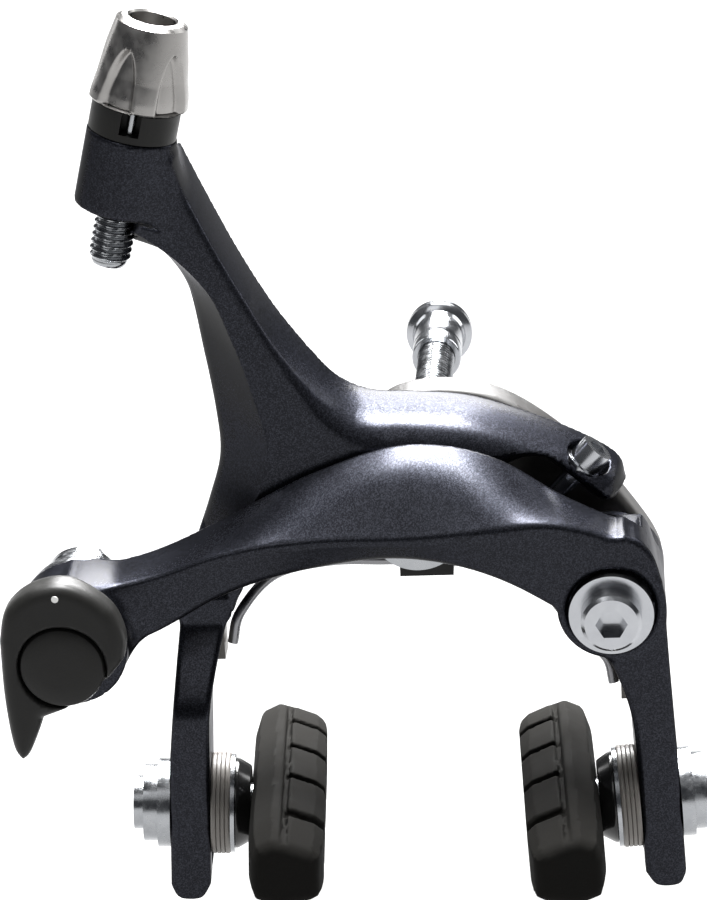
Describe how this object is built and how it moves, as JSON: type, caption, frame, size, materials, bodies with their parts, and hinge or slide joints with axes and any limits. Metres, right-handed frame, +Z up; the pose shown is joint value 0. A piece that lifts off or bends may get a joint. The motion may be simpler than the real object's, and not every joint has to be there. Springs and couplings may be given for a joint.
{
  "type": "rim brake caliper",
  "caption": "Dual-pivot rim brake caliper with a cable adjuster, quick-release cable anchor, slotted legs, pivoting shoes and a recessed mounting bolt.",
  "frame": {"origin": "mounting bolt axis at the fork face, the rear face of the serrated washer", "axes": "+Y to the rear along the mounting bolt, +Z up, +X to the right as seen from the front"},
  "size_m": [0.102, 0.1075, 0.1345],
  "materials": {
    "arm_paint": "dark blue-black metallic paint, satin clear coat",
    "bracket_black": "satin black paint",
    "steel": "bright zinc",
    "satin_steel": "satin turned",
    "chrome": "polished",
    "bronze": "plain bearing",
    "black_plastic": "matte",
    "grey_plastic": "satin",
    "white_plastic": "matte",
    "rubber": "moulded",
    "spring_steel": "drawn wire"
  },
  "bodies": {
    "mount": {"mounting_bolt": "steel", "sleeve_nut": "chrome", "pivot_bracket": "bracket_black", "serrated_washer": "steel", "centre_washer": "steel", "centre_nut": "steel", "centre_thrust_washer": "grey_plastic", "side_thrust_washer": "grey_plastic", "side_pivot_bolt": "chrome", "side_pivot_washer": "chrome", "spring_holder": "black_plastic", "return_spring": "spring_steel"},
    "rear_arm": {"y_arm": "arm_paint", "centre_bush": "bronze", "left_spring_seat": "grey_plastic", "adjuster_collar": "black_plastic", "detent_pin": "steel"},
    "barrel": {"barrel_nut": "satin_steel"},
    "adjuster": {"adjusting_bolt": "steel"},
    "centring": {"centring_screw": "chrome"},
    "front_arm": {"c_arm": "arm_paint", "side_bush": "bronze", "contact_pad": "grey_plastic", "right_spring_seat": "grey_plastic"},
    "quick_release": {"qr_lever": "black_plastic", "qr_cap": "black_plastic", "qr_mark": "white_plastic", "qr_shaft": "steel"},
    "cable_anchor": {"anchor_bolt": "steel", "clamp_washer": "steel", "clamp_plate": "steel"},
    "left_carrier": {"left_outer_washer": "steel", "left_shoe_nut": "steel", "left_inner_spacer": "grey_plastic", "left_spacer_ring": "steel"},
    "left_shoe_body": {"left_dished_washer": "black_plastic", "left_shoe_stud": "steel", "left_shoe": "rubber"},
    "right_carrier": {"right_outer_washer": "steel", "right_shoe_nut": "steel", "right_inner_spacer": "grey_plastic", "right_spacer_ring": "steel"},
    "right_shoe_body": {"right_dished_washer": "black_plastic", "right_shoe_stud": "steel", "right_shoe": "rubber"}
  },
  "joints": [
    {"name": "rear_arm_swing", "type": "hinge", "parent": "mount", "child": "rear_arm", "pos_m": [0, -0.013, 0], "axis": [0, 1, 0], "range_deg": [-8, 1.2], "stiffness_Nm_per_rad": 3, "deforming": ["return_spring"]},
    {"name": "front_arm_swing", "type": "hinge", "parent": "mount", "child": "front_arm", "pos_m": [0.028, -0.018, -0.01], "axis": [0, 1, 0], "range_deg": [-1.6, 10.5]},
    {"name": "adjuster_turn", "type": "hinge", "parent": "rear_arm", "child": "barrel", "pos_m": [-0.03449, -0.016, 0.07049], "axis": [0.2504, 0, 0.9681], "range_deg": [-1805, 1085]},
    {"name": "adjuster_lift", "type": "slide", "parent": "rear_arm", "child": "adjuster", "axis": [0.2504, 0, 0.9681], "range_m": [-0.003, 0.005]},
    {"name": "centring_turn", "type": "hinge", "parent": "rear_arm", "child": "centring", "pos_m": [0.0196, -0.0135, 0.0022], "axis": [0.6691, 0, 0.7431], "range_deg": [-180, 180]},
    {"name": "quick_release_turn", "type": "hinge", "parent": "front_arm", "child": "quick_release", "pos_m": [-0.05, -0.03, -0.011], "axis": [0, 1, 0], "range_deg": [0, 100]},
    {"name": "cable_anchor_turn", "type": "hinge", "parent": "quick_release", "child": "cable_anchor", "pos_m": [-0.05, -0.016, -0.0085], "axis": [0, 1, 0], "range_deg": [-101, 1]},
    {"name": "left_shoe_height", "type": "slide", "parent": "rear_arm", "child": "left_carrier", "axis": [-0.061, -0.0034, -0.9981], "range_m": [0, 0.007]},
    {"name": "left_shoe_pitch", "type": "hinge", "parent": "left_carrier", "child": "left_shoe_body", "pos_m": [-0.0357, -0.02, -0.043], "axis": [-0.9966, -0.0557, 0.061], "range_deg": [-8, 8]},
    {"name": "right_shoe_height", "type": "slide", "parent": "front_arm", "child": "right_carrier", "axis": [0.0436, 0.0024, -0.999], "range_m": [0, 0.007]},
    {"name": "right_shoe_pitch", "type": "hinge", "parent": "right_carrier", "child": "right_shoe_body", "pos_m": [0.0341, -0.02, -0.043], "axis": [0.9975, 0.0558, 0.0436], "range_deg": [-8, 8]}
  ],
  "couplings": [
    {"joint": "front_arm_swing", "follows": "rear_arm_swing", "ratio": -1.3},
    {"joint": "adjuster_turn", "follows": "adjuster_lift", "rad_per_m": -6283.2},
    {"joint": "cable_anchor_turn", "follows": "quick_release_turn", "ratio": -1}
  ]
}
